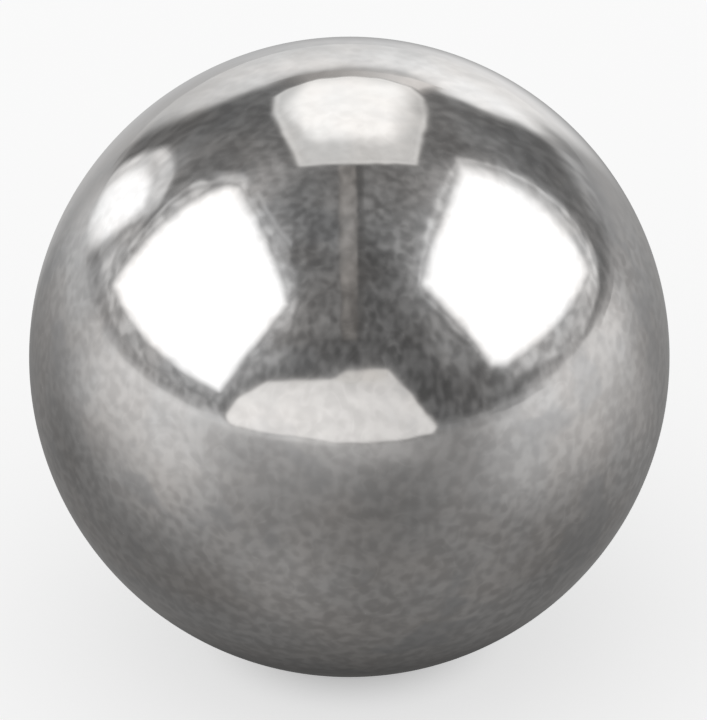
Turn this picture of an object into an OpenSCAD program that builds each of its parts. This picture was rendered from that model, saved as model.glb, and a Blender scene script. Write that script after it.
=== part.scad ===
// Polished steel ball
//
// A plain solid sphere of hardened bearing steel: one forged, ground and
// lapped piece, with no flat, hole, seam or coating. It rolls, so it has no
// rest of its own; a cup, cone, groove or race holds it.
//
// Millimetres. The origin is the ball's centre and +Z is up.

/* [Ball] */
// Diameter of the ball. 25.4 is one inch, a stock bearing-ball size
ball_d = 25.4; // [1:0.1:100]

/* [Preview] */
// Flats round the equator in OpenSCAD's own preview and mesh
facets = 180; // [48:12:360]

/* [Hidden] */
// Bright, slightly warm polished steel
steel = [0.73, 0.73, 0.72];

// The whole object, centred on the origin
module ball() {
    color(steel)
        sphere(d = ball_d, $fn = facets);
}

ball();
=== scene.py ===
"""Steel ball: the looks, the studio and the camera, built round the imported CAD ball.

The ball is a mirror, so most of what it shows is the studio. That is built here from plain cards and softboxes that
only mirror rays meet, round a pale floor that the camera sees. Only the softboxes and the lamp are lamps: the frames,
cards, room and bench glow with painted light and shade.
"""

import math

import bpy
from mathutils import Matrix, Vector


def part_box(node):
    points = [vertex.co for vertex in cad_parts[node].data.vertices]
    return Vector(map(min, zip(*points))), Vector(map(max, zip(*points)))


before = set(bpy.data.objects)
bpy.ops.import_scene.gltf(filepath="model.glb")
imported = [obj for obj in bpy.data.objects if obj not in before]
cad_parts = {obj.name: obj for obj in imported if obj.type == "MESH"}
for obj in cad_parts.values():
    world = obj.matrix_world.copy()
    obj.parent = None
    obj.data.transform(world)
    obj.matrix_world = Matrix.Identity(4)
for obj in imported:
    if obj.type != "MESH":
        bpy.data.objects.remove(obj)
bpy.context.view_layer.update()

low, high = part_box("ball")
CENTRE = (low + high) / 2
R = (high.z - low.z) / 2
SCENE = bpy.context.scene
SCENE.view_settings.view_transform = "Standard"
SCENE.view_settings.look = "None"


# ---------------------------------------------------------------- node helpers


class Nodes:
    """A material's node tree, written as expressions."""

    def __init__(self, tree):
        self.tree = tree
        tree.nodes.clear()

    def add(self, kind, **values):
        node = self.tree.nodes.new(kind)
        for name, value in values.items():
            setattr(node, name, value)
        return node

    def link(self, value, socket):
        if isinstance(value, bpy.types.NodeSocket):
            self.tree.links.new(value, socket)
        else:
            socket.default_value = value

    def maths(self, operation, *values):
        node = self.add("ShaderNodeMath", operation=operation)
        for value, socket in zip(values, node.inputs):
            self.link(value, socket)
        return node.outputs[0]

    def total(self, *terms):
        """The sum of (value, weight) pairs."""
        made = 0.0
        for value, weight in terms:
            made = self.add_scaled(made, value, weight)
        return made

    def add_scaled(self, start, value, weight):
        node = self.add("ShaderNodeMath", operation="MULTIPLY_ADD")
        for v, socket in zip((value, weight, start), node.inputs):
            self.link(v, socket)
        return node.outputs[0]

    def vector(self, operation, *values, out=0):
        node = self.add("ShaderNodeVectorMath", operation=operation)
        for value, socket in zip(values, node.inputs):
            if value is not None:
                self.link(value, socket)
        return node.outputs[out]

    def step(self, value, start, end, low=0.0, high=1.0):
        """A smooth step from low at start to high at end."""
        node = self.add("ShaderNodeMapRange", interpolation_type="SMOOTHSTEP")
        for v, socket in zip((value, start, end, low, high), node.inputs):
            self.link(v, socket)
        return node.outputs[0]

    def noise(self, place, scale, detail=2.0, roughness=0.5, distortion=0.0, shift=None):
        if shift is not None:
            place = self.vector("ADD", place, shift)
        node = self.add("ShaderNodeTexNoise")
        self.link(place, node.inputs["Vector"])
        for name, v in (("Scale", scale), ("Detail", detail), ("Roughness", roughness), ("Distortion", distortion)):
            node.inputs[name].default_value = v
        return node.outputs[0]

    def mix(self, share, a, b):
        """Colours a and b, or numbers, mixed by share."""
        node = self.add("ShaderNodeMix", data_type="RGBA", clamp_factor=True)
        self.link(share, node.inputs[0])
        self.link(a, node.inputs[6])
        self.link(b, node.inputs[7])
        return node.outputs[2]

    def place(self):
        return self.add("ShaderNodeTexCoord").outputs["Object"]

    def attribute(self, name):
        """A number that a mesh carries at its points."""
        return self.add("ShaderNodeAttribute", attribute_name=name).outputs["Fac"]


def material(name):
    mat = bpy.data.materials.new(name)
    mat.use_nodes = True
    return mat, Nodes(mat.node_tree)


# ---------------------------------------------------------------- the camera

# A long lens, 29.5 degrees above the bench and 0.7 degrees off level.
LENS = 400.0
WIDE, TALL = 707, 720
ELEVATION, ROLL = math.radians(29.5), math.radians(-0.7)
BALL_AT, BALL_R = (349.4, 356.9), 320.3  # the ball's outline in the frame, in pixels


def make_camera():
    data = bpy.data.cameras.new("camera")
    data.sensor_fit = "AUTO"
    data.sensor_width = 36.0
    data.lens = LENS
    data.clip_start, data.clip_end = 0.01, 20.0
    camera = bpy.data.objects.new("camera", data)
    SCENE.collection.objects.link(camera)
    SCENE.camera = camera
    per_pixel = 36.0 / TALL / LENS  # tangent of one pixel's angle
    distance = R / math.sin(math.atan(BALL_R * per_pixel))
    back = Vector((0, -math.cos(ELEVATION), math.sin(ELEVATION)))
    level, above = Vector((1, 0, 0)), Vector((0, math.sin(ELEVATION), math.cos(ELEVATION)))
    right = level * math.cos(ROLL) + above * math.sin(ROLL)
    up = above * math.cos(ROLL) - level * math.sin(ROLL)
    place = CENTRE + back * distance
    # the middle of the frame lies a few pixels right of and below the ball's middle
    aim = CENTRE + (right * (WIDE / 2 - BALL_AT[0]) - up * (TALL / 2 - BALL_AT[1])) * per_pixel * distance
    look = (aim - place).normalized()
    right = look.cross(up).normalized()
    up = right.cross(look)
    turn = Matrix((right, up, -look)).transposed()
    camera.matrix_world = Matrix.Translation(place) @ turn.to_4x4()


make_camera()


# ---------------------------------------------------------------- the ball


def polished_steel():
    """Bright lapped steel: a fine curly grain in tone, gloss and height, faint clouds, stains and lapping hairlines."""
    mat, n = material("polished_steel")
    p = n.place()
    fine = n.noise(p, 2350.0, detail=0.0)  # about half a millimetre
    curls = n.maths("ABSOLUTE", n.maths("SUBTRACT", n.noise(p, 1650.0, detail=0.0, distortion=0.3, shift=(0.3, 0.1, 0.2)), 0.5))
    curls = n.step(curls, 0.15, -0.03)
    mottle = n.noise(p, 1000.0, detail=1.0, roughness=0.5, shift=(0.013, 0.037, 0.021))
    cloud = n.noise(p, 420.0, detail=2.0, roughness=0.5, shift=(0.031, 0.017, 0.043))
    tint = n.noise(p, 210.0, detail=2.5, roughness=0.6, shift=(0.007, 0.029, 0.011))
    # lapping hairlines: thin circular arcs in several directions, broken up into short runs
    lines = None
    for i, (direction, pitch) in enumerate((((0.62, 0.31, 0.72), 9000.0), ((-0.48, 0.80, 0.36), 11000.0), ((0.20, -0.55, 0.81), 10000.0))):
        along = n.vector("DOT_PRODUCT", p, Vector(direction).normalized(), out=1)
        flat = n.add("ShaderNodeCombineXYZ")
        n.link(along, flat.inputs[0])
        thin = n.step(n.noise(flat.outputs[0], pitch, detail=1.0), 0.60, 0.72)
        runs = n.step(n.noise(p, 260.0, detail=1.0, shift=(0.1 * i + 0.2, 0.07 * i, -0.05 * i)), 0.50, 0.66)
        line = n.maths("MULTIPLY", thin, runs)
        lines = line if lines is None else n.maths("MAXIMUM", lines, line)
    # the grain is weaker high on the back, in a band round the middle and in a few cleaner patches
    part = n.add("ShaderNodeSeparateXYZ")
    n.link(n.vector("SUBTRACT", p, CENTRE), part.inputs[0])
    x, y, z = part.outputs

    def patch(u, middle_u, half_u, v, middle_v, half_v, strength):
        """1 outside a soft oval patch and 1 - strength in it; the other numbers are shares of R."""
        a = n.maths("DIVIDE", n.maths("SUBTRACT", u, middle_u * R), half_u * R)
        b = n.maths("DIVIDE", n.maths("SUBTRACT", v, middle_v * R), half_v * R)
        return n.step(n.maths("ADD", n.maths("MULTIPLY", a, a), n.maths("MULTIPLY", b, b)), 0.5, 1.5, 1.0 - strength, 1.0)

    worn = n.step(n.maths("MULTIPLY", n.step(y, -0.30 * R, -0.02 * R), n.step(z, 0.35 * R, 0.60 * R)), 0.0, 1.0, 1.0, 0.35)
    worn = n.maths("MULTIPLY", worn, n.step(n.maths("MULTIPLY", n.step(z, -0.06 * R, 0.10 * R), n.step(z, 0.48 * R, 0.32 * R)), 0.0, 1.0, 1.0, 0.72))
    for spot in (
        (x, -0.05, 0.38, z, 0.36, 0.13, 0.30),
        (x, 0.01, 0.28, y, -0.23, 0.26, 0.65),
        (x, -0.47, 0.36, z, 0.60, 0.32, 0.55),
        (x, 0.50, 0.35, z, 0.65, 0.30, 0.55),
        (x, -0.62, 0.30, z, -0.42, 0.30, 0.15),
    ):
        worn = n.maths("MULTIPLY", worn, patch(*spot))
    stain = n.step(n.noise(p, 360.0, detail=2.5, roughness=0.6, distortion=0.2, shift=(0.051, 0.043, 0.019)), 0.55, 0.68)
    grit = n.noise(p, 5000.0, detail=0.0, shift=(0.2, 0.1, 0.5))
    grain = n.total((fine, 0.62), (curls, 0.10), (mottle, 0.21), (cloud, 0.14), (grit, 0.12))
    share = n.maths("ADD", n.maths("MULTIPLY", n.maths("SUBTRACT", n.step(grain, 0.385, 0.775), 0.5), worn), 0.5)
    cool = n.mix(share, (0.487, 0.480, 0.476, 1), (0.646, 0.638, 0.633, 1))
    warm = n.mix(share, (0.499, 0.480, 0.467, 1), (0.659, 0.636, 0.619, 1))
    tone = n.mix(n.step(tint, 0.36, 0.64), cool, warm)
    tone = n.mix(n.step(cloud, 0.40, 0.74, 0.0, 0.25), tone, (0.528, 0.521, 0.516, 1))
    tone = n.mix(n.maths("MULTIPLY", n.maths("MULTIPLY", stain, worn), 0.6), tone, (0.440, 0.442, 0.448, 1))
    rough = n.total((n.step(grain, 0.385, 0.775, 0.044, 0.060), 1.0), (n.step(cloud, 0.35, 0.75, 0.0, 0.015), 1.0), (lines, 0.03))
    height = n.total((n.noise(p, 1500.0, detail=0.0, shift=(0.1, 0.4, 0.2)), 1.0), (mottle, 0.5), (lines, -0.04))
    bump = n.add("ShaderNodeBump")
    bump.inputs["Strength"].default_value = 1.0
    bump.inputs["Distance"].default_value = 2.5e-6
    n.link(height, bump.inputs["Height"])
    shader = n.add("ShaderNodeBsdfPrincipled")
    shader.inputs["Metallic"].default_value = 1.0
    n.link(tone, shader.inputs["Base Color"])
    n.link(rough, shader.inputs["Roughness"])
    n.link(bump.outputs[0], shader.inputs["Normal"])
    out = n.add("ShaderNodeOutputMaterial")
    n.link(shader.outputs[0], out.inputs[0])
    return mat


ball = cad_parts["ball"]
steel = polished_steel()
if ball.data.materials:
    ball.material_slots[0].link = "OBJECT"
    ball.material_slots[0].material = steel
else:
    ball.data.materials.append(steel)
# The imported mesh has 3 degree facets, which a mirror would show. These set finer ones on the CAD's own radius.
finer = ball.modifiers.new("finer", "REMESH")
finer.mode, finer.voxel_size, finer.use_smooth_shade = "VOXEL", R / 42.0, True
true_round = ball.modifiers.new("round", "CAST")
true_round.cast_type, true_round.factor, true_round.use_radius_as_size, true_round.radius = "SPHERE", 1.0, True, R
facing = ball.modifiers.new("facing", "NORMAL_EDIT")
facing.mode, facing.mix_mode, facing.mix_factor = "RADIAL", "COPY", 1.0


# ---------------------------------------------------------------- the studio that the ball mirrors

MM = 0.001
WARM = (1.0, 0.997, 0.991, 1)
COOL = (0.985, 0.994, 1.0, 1)


def mirror_only(obj):
    """Only what is mirrored in the ball meets this: it hides nothing from the camera and throws no shadow."""
    obj.visible_camera = False
    obj.visible_diffuse = False
    obj.visible_transmission = False
    obj.visible_volume_scatter = False
    obj.visible_shadow = False
    return obj


def glowing(name, strength, colour=WARM, cover=None):
    """A material that gives off light. strength and colour are values or make one from the node helper; cover 0 is clear."""
    mat, n = material(name)
    glow = n.add("ShaderNodeEmission")
    n.link(colour(n) if callable(colour) else colour, glow.inputs["Color"])
    n.link(strength(n) if callable(strength) else strength, glow.inputs["Strength"])
    shader = glow.outputs[0]
    if cover is not None:
        over = n.add("ShaderNodeMixShader")
        n.link(cover(n), over.inputs[0])
        n.link(n.add("ShaderNodeBsdfTransparent").outputs[0], over.inputs[1])
        n.link(shader, over.inputs[2])
        shader = over.outputs[0]
    out = n.add("ShaderNodeOutputMaterial")
    n.link(shader, out.inputs[0])
    mat.cycles.emission_sampling = "NONE"
    return mat


def add_mesh(name, points, faces, mat, matrix=None, **values):
    """A mesh object. Each of values is one number a point, which a material reads by its name."""
    mesh = bpy.data.meshes.new(name)
    mesh.from_pydata([tuple(p) for p in points], [], faces)
    mesh.materials.append(mat)
    for key, numbers in values.items():
        mesh.attributes.new(key, "FLOAT", "POINT").data.foreach_set("value", numbers)
    mesh.update()
    obj = bpy.data.objects.new(name, mesh)
    SCENE.collection.objects.link(obj)
    if matrix is not None:
        obj.matrix_world = matrix
    return obj


def dome(size, rings=24, sides=48):
    points, faces = [], []
    for i in range(rings + 1):
        e = math.pi * (0.5 - i / rings)
        for j in range(sides):
            a = 2 * math.pi * j / sides
            points.append((size * math.cos(e) * math.cos(a), size * math.cos(e) * math.sin(a), size * math.sin(e)))
    for i in range(rings):
        for j in range(sides):
            faces.append([i * sides + j, i * sides + (j + 1) % sides, (i + 1) * sides + (j + 1) % sides, (i + 1) * sides + j])
    return points, faces


def towards(azimuth, elevation):
    """From the ball: azimuth 0 is towards the camera, 90 is to its right."""
    a, e = math.radians(azimuth), math.radians(elevation)
    return Vector((math.sin(a) * math.cos(e), -math.cos(a) * math.cos(e), math.sin(e)))


def grown(outline, by, spread=(1, 1, 1, 1)):
    """A closed outline moved outwards, edge by edge. spread scales it for edges that face right, up, left and down."""
    count = len(outline)
    area = sum(outline[i][0] * outline[(i + 1) % count][1] - outline[(i + 1) % count][0] * outline[i][1] for i in range(count))
    side = 1.0 if area > 0 else -1.0
    lines = []
    for i in range(count):
        a, b = Vector(outline[i]), Vector(outline[(i + 1) % count])
        along = (b - a).normalized()
        out = Vector((along.y, -along.x)) * side
        share = (max(out.x, 0) ** 2 * spread[0] + max(out.y, 0) ** 2 * spread[1] + max(-out.x, 0) ** 2 * spread[2] + max(-out.y, 0) ** 2 * spread[3])
        lines.append((a + out * by * share, b + out * by * share, along))
    made = []
    for i in range(count):
        (_, b, u), (c, _, v) = lines[i - 1], lines[i]
        turn = u.x * v.y - u.y * v.x
        if abs(turn) < 0.2:
            made.append((b + c) / 2)
        else:
            w = c - b
            made.append(b + u * ((w.x * v.y - w.y * v.x) / turn))
    return made


def rounded(outline, cut):
    """Each corner replaced by four points on a curve that starts cut away from it."""
    made, count = [], len(outline)
    for i in range(count):
        a, b, c = Vector(outline[i - 1]), Vector(outline[i]), Vector(outline[(i + 1) % count])
        p = b + (a - b).normalized() * min(cut, 0.42 * (a - b).length)
        q = b + (c - b).normalized() * min(cut, 0.42 * (c - b).length)
        for t in (0.0, 0.33, 0.67, 1.0):
            made.append(p * (1 - t) ** 2 + b * (2 * t * (1 - t)) + q * t**2)
    return made


def panel(name, azimuth, elevation, distance, outline, rings, tone=None, even=None, spread=(1, 1, 1, 1), corner=6.0, colour=WARM):
    """A glowing card that faces the ball: a lamp, or a card whose glow is painted light and shade.

    outline is in millimetres in the card's own plane, x to the right as seen from the ball and y up. Each ring is
    (how far outside the outline, brightness, cover), innermost first. Both change evenly from ring to ring.
    tone makes a factor on the brightness; even makes a (share, level) pair that levels it out.
    """
    out = towards(azimuth, elevation)
    right = out.cross(Vector((0, 0, 1))).normalized()
    up = right.cross(out)
    turn = Matrix((right, up, -out)).transposed()
    place = Matrix.Translation(CENTRE + out * distance * MM) @ turn.to_4x4()
    points, glow, cover = [], [], []
    for by, bright, share in rings:
        loop = rounded(grown(outline, by, spread), max(3.0, corner + 0.6 * by))
        size = len(loop)
        points += [(p.x * MM, p.y * MM, 0) for p in loop]
        glow += [bright] * size
        cover += [share] * size
    faces = [list(range(size))]
    for k in range(len(rings) - 1):
        for i in range(size):
            j = (i + 1) % size
            faces.append([k * size + i, k * size + j, (k + 1) * size + j, (k + 1) * size + i])

    def strength(n):
        value = n.attribute("glow")
        if even is not None:
            share, level = even(n)
            value = n.maths("ADD", value, n.maths("MULTIPLY", share, n.maths("SUBTRACT", level, value)))
        return value if tone is None else n.maths("MULTIPLY", value, tone(n))

    mat = glowing(name, strength, colour, cover=lambda n: n.attribute("cover"))
    return mirror_only(add_mesh(name, points, faces, mat, place, glow=glow, cover=cover))


def across(n):
    """A card's own x and y, in millimetres."""
    part = n.add("ShaderNodeSeparateXYZ")
    n.link(n.vector("SCALE", n.place(), None, None, 1.0 / MM), part.inputs[0])
    return part.outputs[0], part.outputs[1]


def around(n):
    """The azimuth and elevation of a point as seen from the ball, in degrees, and its distance on the level in millimetres."""
    part = n.add("ShaderNodeSeparateXYZ")
    n.link(n.place(), part.inputs[0])
    x, y, z = part.outputs
    azimuth = n.maths("DEGREES", n.maths("ARCTAN2", x, n.maths("MULTIPLY", y, -1.0)))
    level = n.maths("SQRT", n.maths("ADD", n.maths("MULTIPLY", x, x), n.maths("MULTIPLY", y, y)))
    elevation = n.maths("DEGREES", n.maths("ARCTAN2", z, level))
    return azimuth, elevation, n.maths("DIVIDE", n.maths("ADD", level, 1e-5), MM)


def between(n, value, start, end, soft):
    return n.maths("MULTIPLY", n.step(value, start - soft, start + soft), n.step(value, end + soft, end - soft))


# The bench's painted light in sectors round the ball: where each one ends and how softly, in degrees, then how its
# painted brightness
# rises with distance from the ball: by how much, from and to which distance (powers of ten, in mm), and how much more
# far off.
SECTORS = (
    (-173, 9, 0.52, 1.40, 2.40, 0.08),
    (-152, 8, 0.36, 1.20, 1.90, 0.02),
    (-147, 6, 0.24, 1.35, 1.70, -0.12),
    (-130, 10, 0.45, 1.40, 2.45, 0.12),
    (-100, 14, 0.42, 1.35, 2.45, 0.00),
    (-46, 16, 0.67, 1.20, 2.15, 0.14),
    (22, 18, 0.34, 1.10, 2.50, 0.24),
    (54, 16, 0.14, 1.00, 1.75, 0.00),
    (117, 12, 0.72, 1.10, 2.30, 0.00),
    (155, 4, 0.23, 1.20, 2.15, -0.03),
    (173, 7, 0.78, 1.50, 2.30, 0.12),
    (200, 1, 0.52, 1.40, 2.40, 0.08),
)
# Pools of light and shade on it: azimuth, half width and softness, then distances (powers of ten) and strength.
POOLS = (
    (-62, 16, 14, 1.48, 1.92, 0.16, 0.13),
    (66, 16, 14, 1.48, 1.78, 0.14, 0.10),
    (14, 14, 12, 1.48, 2.00, 0.12, -0.10),
    (-94, 12, 10, 1.36, 1.64, 0.12, -0.09),
    (-44, 16, 16, 1.28, 1.88, 0.18, 0.11),
    (-20, 14, 12, 1.14, 1.44, 0.14, 0.10),
    (50, 8, 8, 1.50, 2.50, 0.15, 0.09),
    (86, 10, 10, 1.55, 1.95, 0.14, 0.07),
    (115, 6, 7, 1.58, 2.20, 0.14, -0.09),
    (-13, 12, 7, 2.70, 3.40, 0.18, 0.18),
    (14, 14, 8, 2.70, 3.40, 0.18, -0.20),
    (12, 40, 14, 1.05, 1.32, 0.10, 0.045),
)


# Painted shadows and painted light on the room's glow: azimuth, half width and softness, then elevations and their
# softness, and strength.
SHADOWS = (
    (33, 15, 8, -20, 34, 4, 0.30),
    (36, 6, 5, 12, 22, 4, 0.32),
    (142, 7, 5, 10, 30, 5, 0.30),
    (14, 14, 8, 36, 70, 8, 0.32),
    (-150, 8, 6, -20, 50, 8, 0.22),
    (3, 12, 6, 26, 37, 3, 0.34),
    (-24, 10, 6, 15, 22, 3, 0.30),
    (60, 5, 5, -20, 5, 3, 0.22),
)
PAINTED_LIGHT_PATCHES = (
    (-86, 42, 8, -20, 5, 3, 0.26),
    (-92, 34, 8, 6, 12, 3, 0.20),
    (-66, 16, 8, 5, 12, 3, 0.14),
    (-112, 7, 6, 8, 28, 4, 0.47),
    (-128, 12, 7, 24, 34, 4, 0.12),
    (-112, 10, 6, 34, 56, 6, 0.11),
    (80, 14, 6, -20, 6, 3, 0.23),
    (84, 23, 6, 8, 15, 3, 0.60),
    (145, 13, 6, -20, 9, 4, 0.24),
    (-90, 42, 12, 56, 70, 6, 0.23),
    (84, 44, 12, 56, 69, 6, 0.17),
    (-32, 7, 6, 19, 54, 7, 0.23),
    (-42, 5, 5, 8, 24, 4, 0.20),
    (42, 7, 6, 18, 58, 8, 0.17),
)


def bench_light(n, azimuth, log):
    """Painted light and shade on the bench, or on its far edge where log is a number."""
    total = None
    for i, (end, soft, rise, start, stop, far) in enumerate(SECTORS):
        light = n.maths("ADD", n.step(log, start, stop, 0.0, rise), n.step(log, 2.3, 3.2, 0.0, far))
        if total is None:
            total = light
        else:
            edge, width = SECTORS[i - 1][:2]
            share = n.step(azimuth, edge - width, edge + width)
            total = n.maths("ADD", n.maths("MULTIPLY", total, n.maths("SUBTRACT", 1.0, share)), n.maths("MULTIPLY", light, share))
    # painted contact shadow: dim right by the ball, brightening from about 5 to 40 mm out
    total = n.maths("ADD", total, n.total((n.step(log, 0.74, 1.06, 0.09, 0.21), 1.0), (n.step(log, 1.0, 1.6), 0.04)))
    for middle, half, soft, start, stop, fade, strength in POOLS:
        pool = n.maths("MULTIPLY", between(n, azimuth, middle - half, middle + half, soft), between(n, log, start, stop, fade))
        total = n.maths("ADD", total, n.maths("MULTIPLY", pool, strength))
    return total


def studio():
    # two softboxes with pale frames, left and right of the ball
    core = ((-56, 2.40, 1), (-34, 2.10, 1), (-17, 1.74, 1), (-8, 1.48, 1), (0, 1.20, 1), (7, 0.92, 0.85), (14, 0.74, 0.45), (23, 0.64, 0))
    panel(
        "softbox_left", -78, 38, 500,
        [(284, -236), (250, -123), (222, 82), (198, 176), (168, 204), (18, 211), (-150, 199), (-264, 178), (-322, 160), (-335, 4), (-330, -252), (0, -252)],
        core, spread=(1.1, 0.8, 0.9, 0.7), colour=COOL,
    )

    def left_frame(n):
        worn = n.noise(n.place(), 24.0, detail=0.5, roughness=0.5, distortion=0.3)
        return n.step(worn, 0.28, 0.72, 0.74, 1.22)

    def left_frame_painted_shading(n):
        """Painted shading on the frame: its lower and front sides have no painted bright rim, and it is painted darker
        towards the front.
        """
        x, y = across(n)
        low = n.step(y, -90, -215)
        top = n.maths("MULTIPLY", n.step(y, 130, 190), 0.45)
        side = n.maths("MULTIPLY", n.step(x, -290, -345), 0.8)
        return n.maths("MAXIMUM", n.maths("MAXIMUM", low, top), side), n.maths("ADD", n.step(x, -330, 290, 0.50, 0.70), n.step(y, 0, 150, 0.0, 0.32))

    # The pale frame glows with painted light, with a painted bright rim just inside its edge.
    panel(
        "frame_left", -78, 38, 504,
        [(334, -235), (304, -110), (310, 60), (294, 112), (226, 190), (196, 226), (88, 222), (-62, 240), (-264, 210), (-358, 150), (-372, 88), (-368, -53), (-345, -95), (-340, -292), (0, -300), (250, -290)],
        ((-36, 0.84, 1), (-27, 0.62, 1), (-17, 0.58, 1), (-9, 0.74, 1), (-3, 0.82, 1), (3, 0.68, 1), (10, 0.46, 1), (16, 0.42, 0.95), (24, 0.42, 0.75), (34, 0.40, 0.4), (48, 0.40, 0)),
        tone=left_frame, even=left_frame_painted_shading, spread=(1.0, 0.9, 0.8, 0.6), corner=9, colour=COOL,
    )
    panel(
        "frame_rib", -78, 38, 503,
        [(120, 256), (20, 264), (-60, 274), (-128, 288), (-134, 280), (-64, 265), (18, 254), (116, 248)],
        ((-3, 0.70, 0.9), (4, 0.60, 0.6), (12, 0.44, 0)), corner=4, colour=COOL,
    )
    panel(
        "softbox_right", 82, 38, 500,
        [(-246, 197), (-291, 34), (-304, -60), (-308, -180), (-296, -248), (-61, -241), (88, -230), (218, -220), (273, -190), (265, 72), (252, 168), (176, 186), (123, 196)],
        core, spread=(0.9, 0.9, 2.0, 0.9), colour=COOL,
    )

    # The right frame glows with painted light and shade: brighter towards one side and along its top, with a painted
    # bright rim just inside its edge, and levelled out along its bottom.
    def right_frame(n):
        x, y = across(n)
        sides = n.maths("MAXIMUM", n.step(x, -170, -300, 0.70, 1.02), n.maths("MULTIPLY", n.step(y, 110, 200, 0.66, 1.10), n.step(x, 280, 120, 0.90, 1.0)))
        worn = n.noise(n.place(), 24.0, detail=0.5, roughness=0.5, distortion=0.3)
        return n.maths("MULTIPLY", sides, n.step(worn, 0.28, 0.72, 0.76, 1.20))

    def right_frame_painted_shading(n):
        x, y = across(n)
        return n.step(y, -200, -250), n.maths("SUBTRACT", n.step(x, 160, 230, 1.06, 0.62), n.step(x, -130, -220, 0.0, 0.14))

    panel(
        "frame_right", 82, 38, 504,
        [(-270, 208), (-176, 232), (-79, 236), (88, 236), (176, 214), (262, 188), (298, 146), (302, -44), (288, -176), (286, -208), (240, -232), (150, -268), (40, -306), (-110, -330), (-220, -320), (-318, -298), (-380, -262), (-404, -176), (-372, -35), (-334, 88), (-305, 160)],
        ((-40, 0.88, 1), (-28, 0.72, 1), (-18, 0.72, 1), (-9, 0.84, 1), (-3, 0.84, 1), (4, 0.66, 1), (12, 0.50, 0.9), (20, 0.46, 0.75), (30, 0.44, 0.5), (42, 0.40, 0.25), (60, 0.38, 0)),
        tone=right_frame, even=right_frame_painted_shading, spread=(0.8, 0.9, 1.1, 0.5), corner=9, colour=COOL,
    )

    # a small lamp behind, on the left, with a grey strip above and beside it whose glow is painted light, brighter
    # towards its right
    def strip(n):
        streaks = n.noise(n.place(), 24.0, detail=0.5, roughness=0.5, distortion=0.3)
        return n.maths("MULTIPLY", n.step(streaks, 0.28, 0.72, 0.82, 1.14), n.step(across(n)[0], 10, 60, 1.0, 1.12))

    panel(
        "lamp_shade", -131, 14, 506,
        [(-114, 140), (-60, 160), (-20, 153), (20, 131), (56, 98), (86, 58), (104, 0), (126, -56), (136, -104), (80, -110), (0, -20), (-104, 60)],
        ((-16, 1.00, 1), (-5, 0.94, 1), (3, 0.74, 1), (11, 0.54, 0.7), (25, 0.40, 0)),
        tone=strip, spread=(0.9, 0.9, 1.0, 0.6), corner=16, colour=COOL,
    )
    panel(
        "lamp", -131, 14, 500,
        [(-80, 93), (-40, 91), (12, 68), (50, 32), (84, -30), (104, -100), (44, -114), (-18, -94), (-58, -50), (-82, 18)],
        ((-32, 1.84, 1), (-15, 1.72, 1), (-4, 1.50, 1), (7, 1.20, 1), (20, 0.98, 0.6), (36, 0.8, 0)),
        tone=lambda n: n.step(across(n)[1], -125, 10, 0.78, 1.0), spread=(0.7, 0.7, 0.9, 1.1), corner=20, colour=COOL,
    )

    # a card over the ball from behind with a painted pool of light in its middle, and a lower one that the bench
    # carries on; both glow with painted light and shade
    def card_top(n):
        x, y = across(n)
        upright = n.maths("MULTIPLY", n.step(y, -215, -112, 0.30, 1.0), n.step(y, 176, 88))
        left = n.total((x, 1.0), (n.maths("MAXIMUM", y, 0.0), -0.25), (n.maths("MINIMUM", n.maths("ADD", y, 60.0), 0.0), 0.4))
        painted_light_middle = n.maths("MULTIPLY", n.maths("MULTIPLY", n.step(left, -136, -88), n.step(x, 154, 82)), upright)
        mottle = n.noise(n.place(), 22.0, detail=1.0, roughness=0.6)
        # painted shade: the lower right corner is darker
        corner = n.maths("MULTIPLY", n.step(x, 80, 130), n.step(y, 10, -60))
        tone = n.maths("SUBTRACT", n.maths("ADD", 1.0, n.maths("MULTIPLY", painted_light_middle, 0.69)), n.maths("MULTIPLY", corner, 0.16))
        return n.maths("MULTIPLY", tone, n.step(mottle, 0.3, 0.7, 0.98, 1.02))

    panel(
        "card_top", 180, 52, 500,
        [(-96, -155), (-128, -128), (-142, -36), (-138, 105), (-129, 234), (-38, 245), (36, 242), (109, 231), (189, 210), (174, 90), (163, -32), (143, -114), (110, -168), (58, -184), (7, -185), (-42, -177)],
        ((-26, 0.96, 1), (-13, 0.93, 1), (-4, 1.08, 1), (0, 0.95, 1), (5, 0.60, 0.9), (10, 0.40, 0.5), (16, 0.36, 0)),
        tone=card_top, spread=(1, 1, 1, 0.6), corner=8, colour=(0.996, 1.0, 0.992, 1),
    )

    def card_back(n):
        x, y = across(n)
        # painted light: brighter to the right, darker low down and at the lower right
        flat = n.maths("ADD", n.step(x, -330, -40, 0.88, 1.13), n.step(x, 0, 240, 0.0, 0.31))
        streaks = n.noise(n.vector("MULTIPLY", n.place(), (1.0, 0.12, 1.0)), 30.0, detail=1.5)
        return n.maths("MULTIPLY", n.maths("MULTIPLY", flat, n.maths("SUBTRACT", n.step(y, -120, 60, 0.80, 1.0), n.maths("MULTIPLY", n.step(x, 240, 320, 0.0, 0.4), n.step(y, 20, -100)))), n.step(streaks, 0.3, 0.7, 0.95, 1.05))

    panel(
        "card_back", 180, 12, 600,
        [(-320, -165), (-292, -82), (-292, 58), (-240, 146), (-151, 168), (-71, 142), (15, 134), (87, 128), (143, 154), (196, 192), (300, 158), (350, 17), (330, -165)],
        ((-56, 1.0, 1), (-32, 0.94, 1), (-11, 0.80, 1), (6, 0.62, 0.85), (24, 0.48, 0.45), (50, 0.38, 0)),
        tone=card_back, spread=(1.0, 0.9, 1.0, 0.3), corner=14, colour=(0.996, 1.0, 0.998, 1),
    )

    # a card in the gap between the top and back cards, whose glow is painted light, dim to its left and brighter to its
    # right
    def gap(n):
        x, _ = across(n)
        return n.step(x, -60, 150, 0.62, 1.30)

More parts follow.
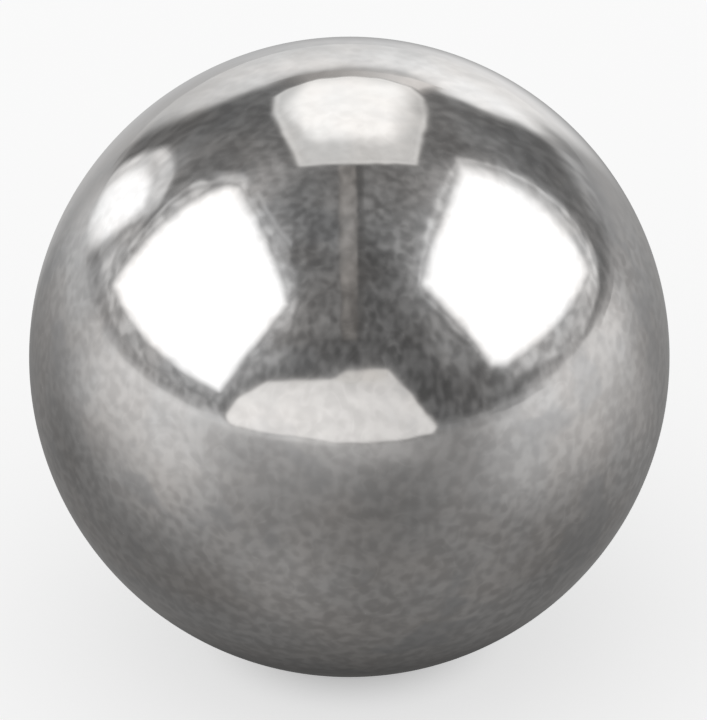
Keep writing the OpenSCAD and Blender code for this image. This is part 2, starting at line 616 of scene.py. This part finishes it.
    panel("gap", 180, 30, 620, [(-52, 60), (-84, -70), (172, -70), (140, 60)], ((-20, 0.84, 1), (2, 0.78, 1), (14, 0.56, 0.7), (34, 0.4, 0)), tone=gap, spread=(1.0, 1.0, 2.4, 1.0), colour=(1.0, 0.982, 0.965, 1))

    # a low card in front of the ball, under the camera, its glow painted light: brighter to the right and a little
    # darker along its top
    def card_front(n):
        x, y = across(n)
        mottle = n.noise(n.vector("MULTIPLY", n.place(), (0.5, 1.0, 1.0)), 22.0, detail=0.5, roughness=0.5)
        tone = n.maths("MULTIPLY", n.step(x, -300, 330, 1.11, 1.37), n.step(mottle, 0.28, 0.72, 0.965, 1.035))
        return n.maths("MULTIPLY", tone, n.step(y, 90, 10, 0.87, 1.0))

    panel(
        "card_front", -8, 12, 500,
        [(356, -80), (300, -6), (190, 62), (-26, 82), (-50, 107), (-196, 123), (-390, -92), (-374, -112), (-43, -110), (105, -97), (333, -101)],
        ((-18, 1.0, 1), (-7, 1.01, 1), (-1, 0.95, 1), (4, 0.70, 0.85), (9, 0.52, 0.5), (16, 0.44, 0.2), (27, 0.40, 0)),
        tone=card_front, spread=(1.2, 1.0, 1.1, 0.7), corner=18, colour=(1.0, 0.985, 0.968, 1),
    )

    # a warm glowing lip of painted light along the card's stepped top edge
    panel("card_lip", -8, 12, 498, [(-32, 82), (-56, 107), (-190, 120), (-178, 92), (-60, 78)], ((-6, 0.93, 0.75), (2, 0.94, 0.55), (10, 0.98, 0)), corner=6, colour=(1.0, 0.976, 0.935, 1))

    # a stand that hangs over the ball towards the camera, its glow painted light that is darker towards its lower end
    # and a little dimmer at its upper end, and its side as a dim card of painted shade
    def stand(n):
        _, y = across(n)
        worn = n.noise(n.vector("MULTIPLY", n.place(), (1.0, 0.50, 1.0)), 28.0, detail=0.5, roughness=0.5, distortion=0.3)
        tone = n.maths("MULTIPLY", n.step(y, -280, 180, 0.235, 0.43), n.step(y, 180, 320, 1.0, 0.84))
        return n.maths("MULTIPLY", tone, n.step(worn, 0.24, 0.76, 0.76, 1.24))

    panel("stand", 0, 62, 520, [(-26, 434), (-26, -262), (22, -262), (24, 434)], ((-12, 1.06, 1), (-2, 0.94, 0.9), (8, 0.8, 0)), tone=stand, colour=(1.0, 0.970, 0.940, 1))
    panel("stand_side", 0, 62, 524, [(-46, 434), (-46, -250), (-24, -250), (-24, 434)], ((-6, 0.15, 0.8), (4, 0.16, 0.6), (12, 0.17, 0)))

    # the dark room round it all, a glowing dome of painted light and shade, paler beside and under the softboxes
    def room_tone(n):
        azimuth, elevation, _ = around(n)
        tall = n.vector("MULTIPLY", n.place(), (1.0, 1.0, 0.6))
        patches = n.step(n.noise(tall, 2.6, detail=1.0, roughness=0.5, distortion=0.3), 0.28, 0.72, 0.243, 0.310)
        curls = n.step(n.maths("ABSOLUTE", n.maths("SUBTRACT", n.noise(tall, 9.5, detail=0.0, shift=(1, 2, 6)), 0.5)), 0.16, -0.03)
        strokes = n.step(n.total((n.noise(tall, 15.0, detail=0.0, shift=(3, 5, 1)), 0.84), (curls, 0.14)), 0.26, 0.74, 0.72, 1.30)
        tone = patches
        for middle, half, soft, start, stop, fade, strength in SHADOWS:
            part = n.maths("MULTIPLY", between(n, azimuth, middle - half, middle + half, soft), between(n, elevation, start, stop, fade))
            tone = n.maths("MULTIPLY", tone, n.maths("SUBTRACT", 1.0, n.maths("MULTIPLY", part, strength)))
        for middle, half, soft, start, stop, fade, strength in PAINTED_LIGHT_PATCHES:
            part = n.maths("MULTIPLY", between(n, azimuth, middle - half, middle + half, soft), between(n, elevation, start, stop, fade))
            tone = n.maths("ADD", tone, n.maths("MULTIPLY", part, strength))
        calm = n.step(n.maths("ABSOLUTE", azimuth), 50, 95, 0.9, 0.55)
        return n.maths("MULTIPLY", tone, n.maths("ADD", 1.0, n.maths("MULTIPLY", n.maths("SUBTRACT", strokes, 1.0), calm)))

    mirror_only(add_mesh("room", *dome(1.5), glowing("room", room_tone, (0.993, 0.997, 1.0, 1))))

    # the bench that the ball was on, with a soft far edge: a glowing disc whose light and shade, and the ball's contact
    # shadow, are painted
    def bench_tone(n):
        azimuth, _, reach = around(n)
        return bench_light(n, azimuth, n.maths("LOGARITHM", reach, 10.0))

    def bench_colour(n):
        """The painted light's colour: warmer close to the ball and in front, cooler far off to the sides."""
        azimuth, _, reach = around(n)
        far = n.maths("MULTIPLY", n.step(reach, 16.0, 90.0), n.step(n.maths("ABSOLUTE", azimuth), 20, 65))
        return n.mix(far, (1.0, 0.990, 0.979, 1), (0.993, 0.997, 1.0, 1))

    count = 96
    turns = [2 * math.pi * j / count for j in range(count)]
    disc = [(1.4 * math.cos(a), 1.4 * math.sin(a), 0) for a in turns]
    mirror_only(add_mesh("bench", disc, [list(range(count))], glowing("bench", bench_tone, bench_colour), Matrix.Translation(CENTRE - Vector((0, 0, R)))))

    def edge_tone(n):
        azimuth, _, _ = around(n)
        return bench_light(n, azimuth, 3.1)

    heights = ((-R, 1.0), (0.024, 0.88), (0.050, 0.36), (0.095, 0.0))
    wall = [(1.38 * math.cos(a), 1.38 * math.sin(a), z) for z, _ in heights for a in turns]
    faces = [[k * count + j, k * count + (j + 1) % count, (k + 1) * count + (j + 1) % count, (k + 1) * count + j] for k in range(len(heights) - 1) for j in range(count)]
    cover = [share for _, share in heights for _ in turns]

    def edge_cover(n):
        """Thinner where the far edge is lowest."""
        azimuth, _, _ = around(n)
        dip = n.maths("MULTIPLY", n.maths("ADD", between(n, azimuth, 50, 72, 8), between(n, azimuth, 106, 124, 7)), 0.55)
        return n.maths("MULTIPLY", n.attribute("cover"), n.maths("SUBTRACT", 1.0, dip))

    mirror_only(add_mesh("bench_edge", wall, faces, glowing("bench_edge", edge_tone, (0.993, 0.997, 1.0, 1), edge_cover), None, cover=cover))


studio()


# ---------------------------------------------------------------- the pale floor that the camera sees


def floor():
    mat, n = material("pale_floor")
    matt = n.add("ShaderNodeBsdfDiffuse")
    p = n.place()
    speck = n.noise(p, 60.0, detail=4.0)
    n.link(n.mix(speck, (0.86, 0.86, 0.86, 1), (0.88, 0.88, 0.88, 1)), matt.inputs["Color"])
    glow = n.add("ShaderNodeEmission")
    glow.inputs["Color"].default_value = (1, 1, 1, 1)
    reach = n.vector("LENGTH", p, out=1)  # darker close to the contact, where little light gets
    # painted contact shadow in the floor's glow: it is dimmer within about half a radius of the contact
    n.link(n.step(reach, 0.0, 0.52 * R, 0.16, 0.68), glow.inputs["Strength"])
    both = n.add("ShaderNodeAddShader")
    n.link(matt.outputs[0], both.inputs[0])
    n.link(glow.outputs[0], both.inputs[1])
    out = n.add("ShaderNodeOutputMaterial")
    n.link(both.outputs[0], out.inputs[0])
    mat.cycles.emission_sampling = "NONE"
    s = 1.58
    obj = add_mesh("floor", [(-s, -s, 0), (s, -s, 0), (s, s, 0), (-s, s, 0)], [[0, 1, 2, 3]], mat, Matrix.Translation(CENTRE - Vector((0, 0, R))))
    obj.visible_glossy = False

    world = bpy.data.worlds.new("world")
    SCENE.world = world
    world.use_nodes = True
    w = Nodes(world.node_tree)
    sky = w.add("ShaderNodeBackground")
    sky.inputs["Color"].default_value = (1, 1, 1, 1)
    sky.inputs["Strength"].default_value = 0.25
    end = w.add("ShaderNodeOutputWorld")
    w.link(sky.outputs[0], end.inputs[0])

    backdrop = add_mesh("backdrop", *dome(1.6), glowing("backdrop", 0.955, (1, 1, 1, 1)))
    backdrop.visible_diffuse = backdrop.visible_glossy = backdrop.visible_transmission = backdrop.visible_shadow = False

    sun = bpy.data.lights.new("soft_light", "SUN")
    sun.energy = 0.22
    sun.angle = math.radians(70)
    lamp = bpy.data.objects.new("soft_light", sun)
    lamp.rotation_euler = (math.radians(20), math.radians(-12), 0)
    lamp.visible_glossy = False
    SCENE.collection.objects.link(lamp)


floor()
SCENE.cycles.caustics_reflective = False
SCENE.cycles.caustics_refractive = False
